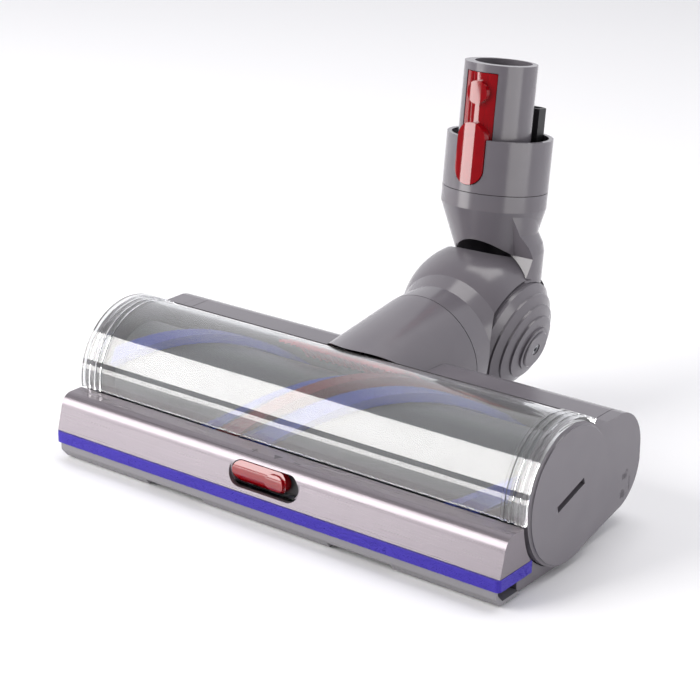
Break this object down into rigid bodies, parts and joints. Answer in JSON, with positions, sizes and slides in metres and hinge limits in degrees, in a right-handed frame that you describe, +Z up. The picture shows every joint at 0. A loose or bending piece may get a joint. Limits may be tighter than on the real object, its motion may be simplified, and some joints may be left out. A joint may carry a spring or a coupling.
{
  "type": "vacuum floor head",
  "caption": "Motorised vacuum floor head with brush bar, clear window, metallised nose bar and a twist-and-tilt wand neck.",
  "frame": {"origin": "middle of the whole part on the floor, with the upper neck upright as in the picture", "axes": "+X along the head towards the coin-slot end cap, -Y is the front with the nose bar, +Z up from the floor"},
  "size_m": [0.2554, 0.205, 0.1756],
  "materials": {
    "frame_grey": "gloss",
    "sole_grey": "matt",
    "window": "clear polycarbonate, polished",
    "felt": "short pile felt",
    "nose_metal": "satin metallised coating with fine brushed lines",
    "dark_plastic": "satin",
    "red_gloss": "gloss",
    "brush_grey": "satin",
    "brush_blue": "soft nylon pile",
    "brush_red": "soft nylon pile",
    "comb_red": "satin",
    "motor_steel": "brushed",
    "screw_steel": "satin zinc",
    "contact_brass": "polished",
    "hose_rubber": "matt",
    "board_green": "satin"
  },
  "bodies": {
    "head": {"main_frame": "frame_grey", "clear_window": "window", "sole_plate": "sole_grey", "front_felt_strip": "felt", "nose_bar": "nose_metal", "slider_tray": "dark_plastic", "rear_cover_right": "frame_grey", "rear_cover_left": "frame_grey", "rear_pan": "sole_grey", "left_end_pod": "frame_grey", "left_end_cap": "frame_grey", "brush_motor": "motor_steel", "gearbox": "dark_plastic", "neck_pipe_upper": "frame_grey", "neck_pipe_lower": "frame_grey", "wheel_axles": "screw_steel", "sole_screws": "screw_steel", "hair_comb": "comb_red", "control_board": "board_green"},
    "brush": {"brush_core": "brush_grey", "brush_end_plug": "dark_plastic", "drive_dog": "dark_plastic", "blue_strip_1": "brush_blue", "blue_strip_2": "brush_blue", "blue_strip_3": "brush_blue", "red_strip": "brush_red"},
    "end_cap": {"end_cap": "frame_grey", "end_seal": "hose_rubber"},
    "slider": {"slider_knob": "red_gloss"},
    "knuckle": {"knuckle_shell": "frame_grey", "swivel_sleeve": "dark_plastic", "flex_hose": "hose_rubber"},
    "upper_neck": {"yoke": "frame_grey", "pivot_hub": "frame_grey", "hub_cap": "frame_grey", "hub_screw": "screw_steel", "upper_collar": "frame_grey", "inner_tube": "frame_grey", "latch_pin": "screw_steel", "latch_spring": "screw_steel", "connector_block": "dark_plastic", "contact_pins": "contact_brass"},
    "latch": {"latch_lever": "red_gloss"},
    "rear_wheel_right": {"rear_wheel_right": "dark_plastic"},
    "rear_wheel_left": {"rear_wheel_left": "dark_plastic"},
    "front_roller_right": {"front_roller_right": "dark_plastic"},
    "front_roller_left": {"front_roller_left": "dark_plastic"}
  },
  "joints": [
    {"name": "brush_spin", "type": "hinge", "parent": "head", "child": "brush", "pos_m": [0.0033, -0.0517, 0.0332], "axis": [1, 0, 0], "continuous": true},
    {"name": "end_cap_turn", "type": "hinge", "parent": "head", "child": "end_cap", "pos_m": [0.1277, -0.0517, 0.0332], "axis": [1, 0, 0], "range_deg": [0, 45]},
    {"name": "slider_slide", "type": "slide", "parent": "head", "child": "slider", "axis": [1, 0, 0], "range_m": [0, 0.0058]},
    {"name": "neck_twist", "type": "hinge", "parent": "head", "child": "knuckle", "pos_m": [0.0033, 0.0603, 0.0518], "axis": [0, 0.989, 0.1478], "range_deg": [-80, 80]},
    {"name": "elbow_tilt", "type": "hinge", "parent": "knuckle", "child": "upper_neck", "pos_m": [0.0033, 0.0603, 0.0518], "axis": [-0.9588, -0.042, 0.2809], "range_deg": [0, 70], "deforming": ["flex_hose"]},
    {"name": "latch_press", "type": "hinge", "parent": "upper_neck", "child": "latch", "pos_m": [0.0033, 0.05641, 0.12302], "axis": [-1, 0, 0], "range_deg": [0, 2.4], "stiffness_Nm_per_rad": 0.8, "springref_deg": -1.15, "deforming": ["latch_spring"]},
    {"name": "rear_wheel_right_roll", "type": "hinge", "parent": "head", "child": "rear_wheel_right", "pos_m": [0.0493, -0.0182, 0.0046], "axis": [1, 0, 0], "continuous": true},
    {"name": "rear_wheel_left_roll", "type": "hinge", "parent": "head", "child": "rear_wheel_left", "pos_m": [-0.0427, -0.0182, 0.0046], "axis": [1, 0, 0], "continuous": true},
    {"name": "front_roller_right_roll", "type": "hinge", "parent": "head", "child": "front_roller_right", "pos_m": [0.0933, -0.0897, 0.0037], "axis": [1, 0, 0], "continuous": true},
    {"name": "front_roller_left_roll", "type": "hinge", "parent": "head", "child": "front_roller_left", "pos_m": [-0.0867, -0.0897, 0.0037], "axis": [1, 0, 0], "continuous": true}
  ]
}
